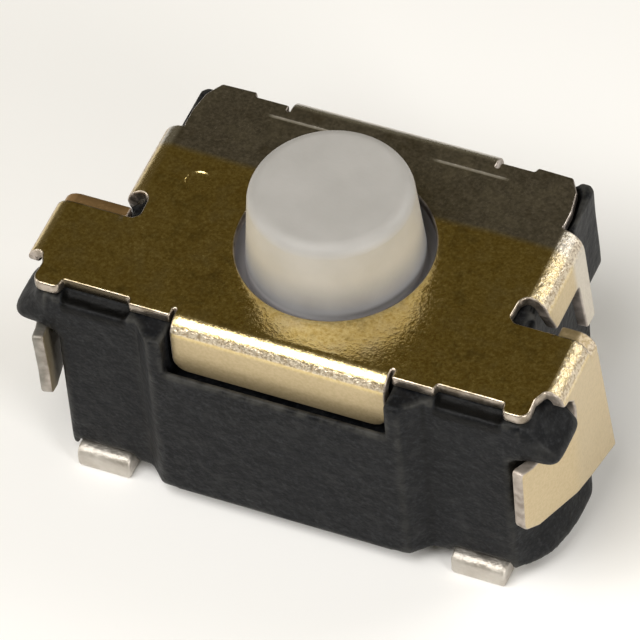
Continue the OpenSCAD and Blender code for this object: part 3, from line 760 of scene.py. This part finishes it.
# %% Helpers for the skin
def voxel_skin(node_name, name, cell):
    """A new object with a copy of a CAD node's mesh in millimetres, and the same form as a
    mesh of even cells."""
    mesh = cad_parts[node_name].data.copy()
    bm = bmesh.new()
    bm.from_mesh(mesh)
    bmesh.ops.remove_doubles(bm, verts=bm.verts, dist=2e-9)
    bmesh.ops.scale(bm, vec=(1 / MM, 1 / MM, 1 / MM), verts=bm.verts)
    bm.to_mesh(mesh)
    bm.free()
    mould = bpy.data.objects.new(name, mesh)
    bpy.context.scene.collection.objects.link(mould)
    skin = mould.modifiers.new("skin", "REMESH")
    skin.mode, skin.voxel_size, skin.adaptivity = "VOXEL", cell, 0
    shaped = bpy.data.meshes.new_from_object(
        mould.evaluated_get(bpy.context.evaluated_depsgraph_get()))
    mould.modifiers.clear()
    shaped.materials.clear()
    return mould, shaped


def neighbours_mean_of(mesh):
    """A function that gives the mean of each point's neighbours, column by column."""
    edges = np.empty(len(mesh.edges) * 2, int)
    mesh.edges.foreach_get("vertices", edges)
    ends = np.concatenate([edges.reshape(-1, 2), edges.reshape(-1, 2)[:, ::-1]])
    size = len(mesh.vertices)
    count = np.bincount(ends[:, 0], minlength=size)[:, None]

    def mean(values):
        sums = [np.bincount(ends[:, 0], column[ends[:, 1]], size) for column in values.T]
        return np.stack(sums, 1) / count
    return mean


# %% [markdown]
# The relaxed skin also keeps a number for the finish, as a point attribute: how far a point
# stands out of its neighbours, over the size of a cell. It is above 0 on an outer edge, where
# the finish paints a pale highlight, and below 0 in an inner corner, where it paints shade;
# under the cover's front edge it is lowered more, for a painted shadow.

# %% Base as a relaxed skin
def relaxed_base(name, cell):
    """The base's skin. In each round a point moves half way to the mean of its neighbours,
    and moulding_rounds says how many rounds it takes part in."""
    mould, shaped = voxel_skin("base_housing", name, cell)
    neighbours_mean = neighbours_mean_of(shaped)
    points = np.empty(len(shaped.vertices) * 3)
    shaped.vertices.foreach_get("co", points)
    points = points.reshape(-1, 3)
    rounds = moulding_rounds(points)
    points = worn_mould(points)
    for k in range(int(rounds.max())):
        moved = 0.5 * points + 0.5 * neighbours_mean(points)
        points = np.where((rounds > k)[:, None], moved, points)
    shaped.vertices.foreach_set("co", (points * MM).ravel())
    shaped.polygons.foreach_set("use_smooth", [True] * len(shaped.polygons))
    shaped.update()
    normals = np.empty(len(points) * 3)
    shaped.vertices.foreach_get("normal", normals)
    # How far a point stands out of its neighbours: the finish turns this into a painted highlight
    # on outer edges and painted shade in inner corners
    bulge_light_shade = ((points - neighbours_mean(points)) * normals.reshape(-1, 3)).sum(1) / cell
    for _ in range(EDGE_SHADING_ROUNDS):
        bulge_light_shade = 0.5 * bulge_light_shade + 0.5 * neighbours_mean(bulge_light_shade[:, None])[:, 0]
    # Painted shadow: lowered on the ledges' tops under the cover's front edge, so they turn near
    # black
    bulge_light_shade -= COVER_EDGE_SHADOW * under_edge(points) * step_up((points[:, 2] - 2.3) / 0.1)
    print("edge wear, 1 to 99 %:", np.round(np.percentile(bulge_light_shade, [1, 50, 99]), 3))
    layer = shaped.attributes.new("edge_highlight_and_shade", "FLOAT", "POINT")
    layer.data.foreach_set("value", bulge_light_shade.astype(np.float32))
    mould.data = shaped
    return mould


# The third number smooths the painted edge highlight and shade; the last sets the painted shadow
# under the cover's front edge
CELL, KEPT_FACES, EDGE_SHADING_ROUNDS, COVER_EDGE_SHADOW = 0.024, 0.45, 3, 0.10
base = relaxed_base("moulded_base", CELL)
thin = base.modifiers.new("fewer_faces", "DECIMATE")
thin.ratio = KEPT_FACES
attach(base, "housing")
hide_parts("base_housing")
print("base faces before thinning:", len(base.data.polygons))

# %% [markdown]
# ## Node helpers for materials
# Every finish is a node tree on Object coordinates. They are in metres, so they are scaled to
# millimetres first, and noise sizes then read in millimetres. Any input of a helper may be a
# number or another node's output.

# %% Nodes and sockets
def new_material(name):
    """Empty material, its node tree and its shader."""
    material = bpy.data.materials.new(name)
    material.use_nodes = True
    tree = material.node_tree
    return material, tree, tree.nodes["Principled BSDF"]


def put(tree, node, inputs):
    """Links or sets each named input of a node."""
    for key, value in inputs.items():
        if isinstance(value, bpy.types.NodeSocket):
            tree.links.new(value, node.inputs[key])
        else:
            node.inputs[key].default_value = value


def add(tree, kind, inputs, **settings):
    """A new node with its properties and inputs set."""
    node = tree.nodes.new(kind)
    for key, value in settings.items():
        setattr(node, key, value)
    put(tree, node, inputs)
    return node


def in_mm(tree):
    """Object coordinates in millimetres."""
    place = add(tree, "ShaderNodeTexCoord", {}).outputs["Object"]
    return add(tree, "ShaderNodeVectorMath", {0: place, 1: (1000, 1000, 1000)},
               operation="MULTIPLY").outputs["Vector"]


def attribute(tree, name):
    """The value that the mesh keeps under a name."""
    return add(tree, "ShaderNodeAttribute", {}, attribute_name=name).outputs["Fac"]


def noise(tree, place, scale, detail=3.0, rough=0.5):
    """Noise with cells of about one over scale millimetres, from 0 to 1."""
    return add(tree, "ShaderNodeTexNoise", {
        "Vector": place, "Scale": scale, "Detail": detail, "Roughness": rough,
    }).outputs["Fac"]


# %% [markdown]
# Three kinds of step do the rest: arithmetic, ramps that cut a range out of a value, and
# mixing, by which colours are laid over one another like coats of paint.

# %% Arithmetic, ramps, coats and bump
def calc(tree, kind, first, *others):
    """Arithmetic of one kind, between first and each of the others in turn."""
    for other in others or (0.0,):
        first = add(tree, "ShaderNodeMath", {0: first, 1: other}, operation=kind).outputs[0]
    return first


def ranged(tree, value, low, high, to_low=0.0, to_high=1.0, smooth=False):
    """Maps a value from one range to another and clamps it."""
    return add(tree, "ShaderNodeMapRange", {
        "Value": value, "From Min": low, "From Max": high,
        "To Min": to_low, "To Max": to_high,
    }, interpolation_type="SMOOTHSTEP" if smooth else "LINEAR").outputs["Result"]


def band(tree, value, start, full, fall, end, smooth=False):
    """A ramp up from start to full times a ramp down from fall to end."""
    return calc(tree, "MULTIPLY", ranged(tree, value, start, full, smooth=smooth),
                ranged(tree, value, end, fall, smooth=smooth))


def mixed(tree, factor, one, other):
    """Colour between one and other. A plain colour is its red, green and blue."""
    one, other = ((*c, 1) if isinstance(c, tuple) else c for c in (one, other))
    return add(tree, "ShaderNodeMix", {0: factor, 6: one, 7: other},
               data_type="RGBA").outputs[2]


def coats(tree, tone, *layers):
    """A tone with more colours laid over it, each where its mask says."""
    for mask, colour in layers:
        tone = mixed(tree, mask, tone, colour)
    return tone


def bump(tree, height, distance_mm, strength=1.0, normal=None):
    """Bump from a height times a distance, on top of another bump if one is given."""
    inputs = {"Height": height, "Distance": distance_mm * MM, "Strength": strength}
    if normal is not None:
        inputs["Normal"] = normal
    return add(tree, "ShaderNodeBump", inputs).outputs["Normal"]


# %% [markdown]
# ## Cover metal: where it changes
# The sheet has a warm, tarnished gold tone in front and a neutral grey one at the back. It is
# a rolled satin with a fine pebble, which is coarser where a bend stretches it, and glints
# there are painted as pale specks. Cut edges are raw, greyer and duller. So the places come
# first, each as a mask from 0 to 1 that reads millimetres or one of the sheet's two attributes.

# %% Masks of the cover
def cover_masks(tree, place):
    """Masks and noises by name, each a ramp, a band or a product of them."""
    x, y, z = add(tree, "ShaderNodeSeparateXYZ", {0: place}).outputs
    turn, cut = attribute(tree, "bend_turn"), attribute(tree, "cut_edge")
    aside = calc(tree, "ABSOLUTE", x)
    off_score = calc(tree, "ABSOLUTE", calc(tree, "SUBTRACT", y, SCORE_Y))
    cloud = noise(tree, place, 1.1, 4.0)
    drift = calc(tree, "MULTIPLY", calc(tree, "SUBTRACT", cloud, 0.5), 0.08)
    bending = band(tree, turn, 0.02, 0.20, 0.80, 0.98, smooth=True)
    crack = band(tree, turn, 0.48, 0.58, 0.74, 0.84, smooth=True)
    on_side = ranged(tree, x, 1.9, 2.0)
    strip = calc(tree, "MULTIPLY", band(tree, y, TAB_REAR - 0.005, TAB_REAR + 0.01, -0.16, -0.14),
                 ranged(tree, aside, 2.15, 2.20))
    return SimpleNamespace(
        cut=cut, cloud=cloud, bending=bending, crack=crack, strip=strip,
        speck=noise(tree, place, 30.0, 3.0, 0.65),
        behind=ranged(tree, calc(tree, "ADD", y, drift), 0.60, 0.72, smooth=True),
        on_right=ranged(tree, x, -0.1, 0.1),
        on_flap=ranged(tree, turn, 0.78, 0.98, smooth=True),
        stretched=calc(tree, "MAXIMUM", crack, calc(tree, "MULTIPLY", bending, on_side)),
        level_strip=calc(tree, "MULTIPLY", strip, ranged(tree, turn, 0.98, 0.3)),
        score=calc(tree, "MULTIPLY", ranged(tree, off_score, SCORE_HALF, 0.010, smooth=True),
                   band(tree, aside, SCORE_FROM, 0.60, 1.26, SCORE_TO, smooth=True)),
        # Painted shade: where the left foot is greyed, and where its cut edge darkens towards the
        # bottom
        foot_shade_left=calc(tree, "MULTIPLY", ranged(tree, x, -2.55, -2.75),
                       ranged(tree, y, -0.62, -0.92, smooth=True)),
        foot_edge_shade_left=calc(tree, "MULTIPLY", ranged(tree, x, -2.55, -2.70),
                            ranged(tree, z, 2.35, 2.15, 0.0, 0.65)),
        shaded_edge=calc(tree, "MULTIPLY", band(tree, y, -1.37, -1.38, -1.39, -1.40),
                         ranged(tree, x, -1.70, -1.74)))


# %% [markdown]
# ## Cover metal: colour
# Each tone is a pair, dark and light, and the fine specks choose between the two. Smudges,
# bends, flaps, the torn line on the bends and the cut edges are then laid over the plate's
# tone like coats. Some coats are painted light: a cream highlight over the bends, pale glints
# on the stretched bends and a pale highlight along the scored grooves. Others are painted
# shade: grey on the left foot and a darker grey down its cut edge.

# %% Tones of the cover
PLATE_GOLD = (0.66, 0.48, 0.16), (0.98, 0.80, 0.38)
PLATE_GREY = (0.24, 0.22, 0.19), (0.44, 0.40, 0.36)
FLAP_GOLD = (0.52, 0.41, 0.23), (0.60, 0.48, 0.29)
FLAP_GREY = (0.56, 0.51, 0.43), (0.64, 0.59, 0.50)
# Painted highlight over the bends: pale cream in front, pale grey at the back
BEND_HIGHLIGHT = (0.80, 0.64, 0.34), (0.74, 0.71, 0.66)
TORN_METAL = (0.40, 0.30, 0.21), (0.95, 0.88, 0.78)
RAW_EDGE = (0.22, 0.19, 0.17), (0.55, 0.49, 0.45)
# Painted shade: grey for the left foot, which is seen edge-on, and darker grey for its cut edge
FOOT_SHADE_LEFT, FOOT_EDGE_SHADE_LEFT = (0.33, 0.325, 0.30), (0.19, 0.20, 0.18)
PALE_SMUDGE, DARK_SMUDGE = (0.70, 0.64, 0.52), (0.16, 0.12, 0.05)
# The strip's own tan, then two painted highlights: pale grey along the scored grooves, and pale
# glinting specks on the stretched bends
STRIP_TAN, SCORE_HIGHLIGHT, GLINT_SPECK_TONE = (0.50, 0.32, 0.15), (0.78, 0.74, 0.68), (0.84, 0.74, 0.58)
EDGE_SHADE = (0.07, 0.06, 0.055)


def cover_tone(tree, place, at):
    """The plate's tone under all its coats, in the order in which they are laid."""
    fleck = ranged(tree, at.speck, 0.36, 0.66)
    plate_gold, plate_grey, flap_gold, flap_grey = (
        mixed(tree, fleck, *pair) for pair in (PLATE_GOLD, PLATE_GREY, FLAP_GOLD, FLAP_GREY))
    # Painted shade: grey over the left foot
    flap = coats(tree, flap_gold, (at.behind, flap_grey), (at.foot_shade_left, FOOT_SHADE_LEFT))
    smudge = noise(tree, place, 3.2, 5.0, 0.62)
    torn = mixed(tree, ranged(tree, at.speck, 0.42, 0.58), *TORN_METAL)
    # Painted glints: pale specks where the bends are stretched
    glint_specks = calc(tree, "MULTIPLY", at.stretched, ranged(tree, at.speck, 0.45, 0.6, 0.2, 0.8))
    raw = mixed(tree, ranged(tree, noise(tree, place, 7.0, 3.0), 0.35, 0.65), *RAW_EDGE)
    # Painted shade on the raw edge: along the cover's left front edge, and down the left foot's
    # edge
    raw = coats(tree, raw, (at.shaded_edge, EDGE_SHADE), (at.foot_edge_shade_left, FOOT_EDGE_SHADE_LEFT))
    return coats(
        tree, plate_gold,
        (at.behind, plate_grey),
        (ranged(tree, smudge, 0.50, 0.72, 0.0, 0.30), PALE_SMUDGE),
        (ranged(tree, smudge, 0.46, 0.28, 0.0, 0.45), DARK_SMUDGE),
        # Painted highlight: cream over the bends
        (calc(tree, "MULTIPLY", at.bending, 0.75), mixed(tree, at.behind, *BEND_HIGHLIGHT)),
        (at.strip, mixed(tree, at.on_right, STRIP_TAN, flap_gold)),
        (at.on_flap, flap),
        (calc(tree, "MULTIPLY", at.crack, 0.8), torn),
        (glint_specks, GLINT_SPECK_TONE),
        # Painted highlight along the scored grooves
        (calc(tree, "MULTIPLY", at.score, 0.8), SCORE_HIGHLIGHT),
        (calc(tree, "MULTIPLY", at.cut, 0.9), raw))


# %% [markdown]
# ## Cover metal: gloss and grain
# The plate is nearly a mirror. Flaps, bends, the pressed strips, cut edges and scored lines
# are duller, each by its own amount, and specks make even the plate uneven. The bump is a fine
# grain everywhere, with a coarser pebble where the metal was stretched.

# %% Cover material
def cover_metal():
    """Warm satin metal: tone by place, uneven gloss, painted glints in the bends, raw cut edges.
    """
    material, tree, shader = new_material("satin_cover_metal")
    place = in_mm(tree)
    at = cover_masks(tree, place)
    metallic = calc(tree, "SUBTRACT", ranged(tree, at.behind, 0.0, 1.0, 1.0, 0.94),
                    calc(tree, "MULTIPLY", at.on_flap, 0.4))
    duller = ((at.on_flap, 0.16), (at.stretched, 0.12), (at.bending, 0.10),
              (at.level_strip, 0.30), (at.cut, 0.16), (at.score, 0.24))
    rough = calc(tree, "ADD", ranged(tree, at.cloud, 0.3, 0.7, 0.15, 0.20),
                 *(calc(tree, "MULTIPLY", mask, by) for mask, by in duller),
                 ranged(tree, at.speck, 0.55, 0.72, 0.0, 0.08))
    fine = bump(tree, noise(tree, place, 30.0, 2.0), 0.0030)
    pebble = bump(tree, noise(tree, place, 19.0, 3.0, 0.6), 0.018,
                  ranged(tree, at.stretched, 0.0, 1.0, 0.02, 1.0), fine)
    put(tree, shader, {"Base Color": cover_tone(tree, place, at), "Metallic": metallic,
                       "Roughness": rough, "Normal": pebble})
    print(material.name, "nodes:", len(tree.nodes))
    return material


cover.data.materials.append(cover_metal())

# %% [markdown]
# ## Button plastic
# The button is an off-white engineering plastic, a little translucent, with a satin skin. A
# shallow subsurface scatter softens it, and fine noise keeps the highlights from being even.
# Its tone by height is painted light and shade: cool shaded greys on the hidden flange and
# the foot, a lighter lit tone on the sides and a darker shaded grey on the top.

# %% Button material
# Painted light and shade: a cool shaded grey for the hidden flange, then the shaded foot, the lit
# sides and the shaded top
FLANGE_SHADE_TONE = (0.50, 0.49, 0.51)
FOOT_SHADE_TONES = (0.29, 0.29, 0.302), (0.34, 0.34, 0.352)
SIDE_LIGHT_TONES = (0.42, 0.397, 0.358), (0.47, 0.447, 0.408)
TOP_SHADE_TONES = (0.37, 0.36, 0.347), (0.41, 0.40, 0.387)


def button_plastic():
    """Off-white resin with painted light and shade by height: shaded flange and foot, lit sides,
    shaded top.
    """
    material, tree, shader = new_material("off_white_resin")
    place = in_mm(tree)
    height = add(tree, "ShaderNodeSeparateXYZ", {0: place}).outputs["Z"]
    cloud = ranged(tree, noise(tree, place, 2.2, 4.0), 0.3, 0.7)
    stem, sides, top = (mixed(tree, cloud, *t) for t in (FOOT_SHADE_TONES, SIDE_LIGHT_TONES, TOP_SHADE_TONES))
    # Painted light and shade by height: lit sides over the shaded foot, then the shaded top and
    # the shaded flange
    tone = coats(tree, stem, (ranged(tree, height, 2.72, 3.10, smooth=True), sides),
                 (ranged(tree, height, 3.34, 3.46, smooth=True), top),
                 (ranged(tree, height, 2.58, 2.53), FLANGE_SHADE_TONE))
    put(tree, shader, {
        "Base Color": tone, "Roughness": ranged(tree, cloud, 0.0, 1.0, 0.46, 0.56),
        "Normal": bump(tree, noise(tree, place, 22.0, 3.0), 0.0014),
        "Subsurface Weight": 0.15, "Subsurface Radius": (1.0, 0.9, 0.8),
        "Subsurface Scale": 0.10 * MM})
    print(material.name, "nodes:", len(tree.nodes))
    return material


button.data.materials.append(button_plastic())

# %% [markdown]
# ## Base plastic
# The base is black glass-filled resin. It is near black but dusty, its skin is satin and
# faintly streaked, and it is paler where fibres reach the surface. Its outer edges carry a
# painted pale highlight, its inner corners painted shade, and its ledges under the cover's
# front edge a painted shadow.

# %% Base material
BLACK_TONES = (0.0017, 0.0021, 0.0030), (0.0068, 0.0074, 0.0090)
# Pale fibre specks, and a painted pale highlight for outer edges
FIBRE, EDGE_HIGHLIGHT_TONE = (0.029, 0.031, 0.035), (0.052, 0.051, 0.047)
# Dust, and near-black painted shade for inner corners
DUST, CREVICE_SHADE = (0.026, 0.027, 0.028), (0.0008, 0.0008, 0.0008)


def base_plastic():
    """Black filled resin: pale fibres, dust, painted edge highlights and corner shade, uneven
    gloss, mottled bump.
    """
    material, tree, shader = new_material("black_filled_resin")
    place = in_mm(tree)
    cloud = ranged(tree, noise(tree, place, 1.3, 5.0, 0.6), 0.3, 0.7)
    speck = noise(tree, place, 22.0, 3.0, 0.65)
    patchy = noise(tree, place, 5.0, 4.0, 0.6)
    bulge_light_shade = attribute(tree, "edge_highlight_and_shade")
    # Painted highlight: outer edges made paler, in patches
    pale_edge_highlight = calc(tree, "MULTIPLY", ranged(tree, bulge_light_shade, 0.01, 0.07),
                  ranged(tree, patchy, 0.35, 0.65))
    tone = coats(tree, mixed(tree, cloud, *BLACK_TONES),
                 (ranged(tree, speck, 0.50, 0.72, 0.0, 0.6), FIBRE), (pale_edge_highlight, EDGE_HIGHLIGHT_TONE),
                 (ranged(tree, patchy, 0.52, 0.68, 0.0, 0.35), DUST),
                 # Painted shade in inner corners, and painted shadow under the cover's front edge
                 (ranged(tree, bulge_light_shade, -0.01, -0.05), CREVICE_SHADE))
    coarse = bump(tree, noise(tree, place, 6.0, 3.0), 0.022)
    put(tree, shader, {
        "Base Color": tone, "Roughness": ranged(tree, cloud, 0.0, 1.0, 0.42, 0.56),
        "Normal": bump(tree, speck, 0.003, normal=coarse), "Specular IOR Level": 0.15})
    print(material.name, "nodes:", len(tree.nodes))
    return material


base.data.materials.append(base_plastic())

# %% [markdown]
# ## Plated metal
# The terminals carry a soft bright plating with small dents and a dull bloom; the snap disc
# is a harder, brighter strip.

# %% Contact and dome materials
def plated(name, tones, rough_low, rough_high, dents):
    """Bright plating: two tones by noise, uneven roughness, and dents of the given depth."""
    material, tree, shader = new_material(name)
    place = in_mm(tree)
    cloud = ranged(tree, noise(tree, place, 4.0, 4.0, 0.6), 0.3, 0.7)
    coarse = bump(tree, noise(tree, place, 8.0, 3.0), dents)
    fine = bump(tree, noise(tree, place, 40.0, 2.0), dents * 0.15, normal=coarse)
    put(tree, shader, {
        "Base Color": mixed(tree, cloud, *tones), "Metallic": 1.0, "Normal": fine,
        "Roughness": ranged(tree, cloud, 0.0, 1.0, rough_low, rough_high)})
    print(material.name, "nodes:", len(tree.nodes))
    return material


CONTACT_TONES = (0.50, 0.46, 0.41), (0.68, 0.65, 0.60)
DISC_TONES = (0.58, 0.57, 0.55), (0.68, 0.67, 0.65)
contact_metal = plated("bright_contact_plating", CONTACT_TONES, 0.46, 0.60, 0.020)
for name in ("left_contact", "right_contact"):
    bpy.data.objects[name].data.materials.append(contact_metal)
dome.data.materials.append(plated("sprung_disc_steel", DISC_TONES, 0.16, 0.26, 0.002))

# %% [markdown]
# ## Floor and light
# The photograph is a cut-out on white, so the floor is a plain pale sheet. The metal is close
# to a mirror: the plate looks up and back, where the room is dim, and the folded flaps look
# down on the bright floor, which is what makes the plate dark and the flaps light.

# %% Floor
FLOOR_HALF, FLOOR_UNDER = 60, 0.0005
corners = np.c_[net(-FLOOR_HALF, FLOOR_HALF, 2, -FLOOR_HALF, FLOOR_HALF, 2), [-FLOOR_UNDER] * 4]
floor = make_mesh("floor", corners, [[0, 2, 3, 1]], smooth=False)
floor_material, floor_tree, floor_shader = new_material("pale_floor")
put(floor_tree, floor_shader, {"Base Color": (0.93, 0.93, 0.93, 1), "Roughness": 0.9})
floor.data.materials.append(floor_material)
print("floor of", 2 * FLOOR_HALF, "mm a side")

# %% [markdown]
# ## Lamps and room
# One large lamp gives the photograph's soft light from the front. The two low ones make the
# button's sides and the flaps glow, and the one at the back lights the bends. The room is a
# dim warm tone, which is what the plate shows.

# %% Lamps and world
LAMP_AIM = (0, 0, 1.5)
SOFT_WHITE, WARM_WHITE = (1.0, 0.98, 0.95), (1.0, 0.97, 0.92)


def soft_light(name, at, size, power, colour):
    """Square area light at a place in millimetres, turned towards the object."""
    data = bpy.data.lights.new(name, "AREA")
    data.size, data.energy, data.color = size * MM, power, colour
    lamp = bpy.data.objects.new(name, data)
    way = (Vector(LAMP_AIM) - Vector(at)).normalized()
    lamp.matrix_world = (Matrix.Translation(Vector(at) * MM)
                         @ way.to_track_quat("-Z", "Y").to_matrix().to_4x4())
    bpy.context.scene.collection.objects.link(lamp)


soft_light("front_overhead", (-9, -20, 40), 30, 0.0165, SOFT_WHITE)
soft_light("low_front_right", (39, -20, 18), 18, 0.0108, SOFT_WHITE)
soft_light("low_left", (-40, -15, 15), 18, 0.0060, WARM_WHITE)
soft_light("right_back", (31, 28, 30), 22, 0.0085, SOFT_WHITE)
world = bpy.data.worlds.new("dim_room")
world.use_nodes = True
put(world.node_tree, world.node_tree.nodes["Background"],
    {"Color": (1.0, 0.82, 0.36, 1), "Strength": 0.085})
bpy.context.scene.world = world
bpy.context.scene.view_settings.view_transform = "Standard"
bpy.context.scene.view_settings.look = "None"
print("lamps:", [light.name for light in bpy.data.lights])
